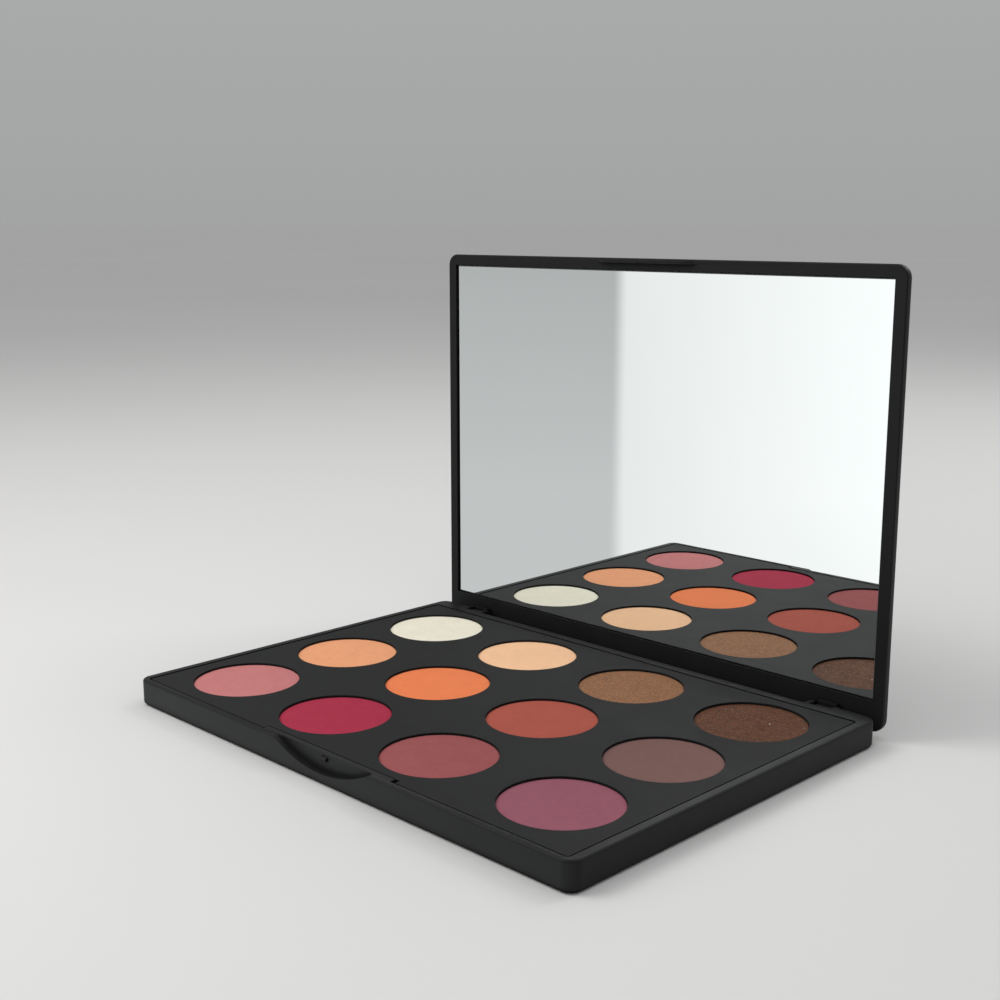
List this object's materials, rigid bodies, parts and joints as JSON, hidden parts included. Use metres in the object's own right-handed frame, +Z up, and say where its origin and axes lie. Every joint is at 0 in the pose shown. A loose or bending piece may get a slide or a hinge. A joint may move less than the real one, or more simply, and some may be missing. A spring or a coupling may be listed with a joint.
{
  "type": "eyeshadow palette",
  "caption": "Thin hinged makeup compact: a base with round pans of pressed eyeshadow in three rows, and a lid with a full-width mirror.",
  "frame": {"origin": "centre of the base's flat underside", "axes": "+X to the right along the hinge, +Y from the thumb scoop to the hinge, +Z up out of the base"},
  "size_m": [0.149, 0.113, 0.1117],
  "materials": {
    "case_plastic": "satin black, fine moulded texture",
    "tray_plastic": "matte black",
    "tinplate": "tinplate",
    "glue": "hot-melt adhesive",
    "tape": "double-sided foam tape",
    "mirror_glass": "polished",
    "pin_steel": "bright drawn wire",
    "powder_front_1": "pressed powder, rose pink",
    "powder_front_2": "pressed powder, crimson",
    "powder_front_3": "pressed powder, dusty rose",
    "powder_front_4": "pressed powder, mauve",
    "powder_middle_1": "pressed powder, peach orange",
    "powder_middle_2": "pressed powder, orange",
    "powder_middle_3": "pressed powder, terracotta",
    "powder_middle_4": "pressed powder, mauve brown",
    "powder_back_1": "pressed powder, cream",
    "powder_back_2": "pressed powder, pale peach",
    "powder_back_3": "pressed powder, tan shimmer",
    "powder_back_4": "pressed powder, brown glitter"
  },
  "bodies": {
    "base": {"base_shell": "case_plastic", "pan_tray": "tray_plastic", "pan_glue": "glue", "hinge_pin_left": "pin_steel", "hinge_pin_right": "pin_steel", "powder_front_1": "powder_front_1", "powder_front_2": "powder_front_2", "powder_front_3": "powder_front_3", "powder_front_4": "powder_front_4", "powder_middle_1": "powder_middle_1", "powder_middle_2": "powder_middle_2", "powder_middle_3": "powder_middle_3", "powder_middle_4": "powder_middle_4", "powder_back_1": "powder_back_1", "powder_back_2": "powder_back_2", "powder_back_3": "powder_back_3", "powder_back_4": "powder_back_4", "pan_front_1": "tinplate", "pan_front_2": "tinplate", "pan_front_3": "tinplate", "pan_front_4": "tinplate", "pan_middle_1": "tinplate", "pan_middle_2": "tinplate", "pan_middle_3": "tinplate", "pan_middle_4": "tinplate", "pan_back_1": "tinplate", "pan_back_2": "tinplate", "pan_back_3": "tinplate", "pan_back_4": "tinplate"},
    "lid": {"lid_shell": "case_plastic", "mirror": "mirror_glass", "mirror_tape": "tape"}
  },
  "joints": [
    {"name": "lid_hinge", "type": "hinge", "parent": "base", "child": "lid", "pos_m": [0, 0.0535, 0.0047], "axis": [1, 0, 0], "range_deg": [-35, 90]}
  ]
}
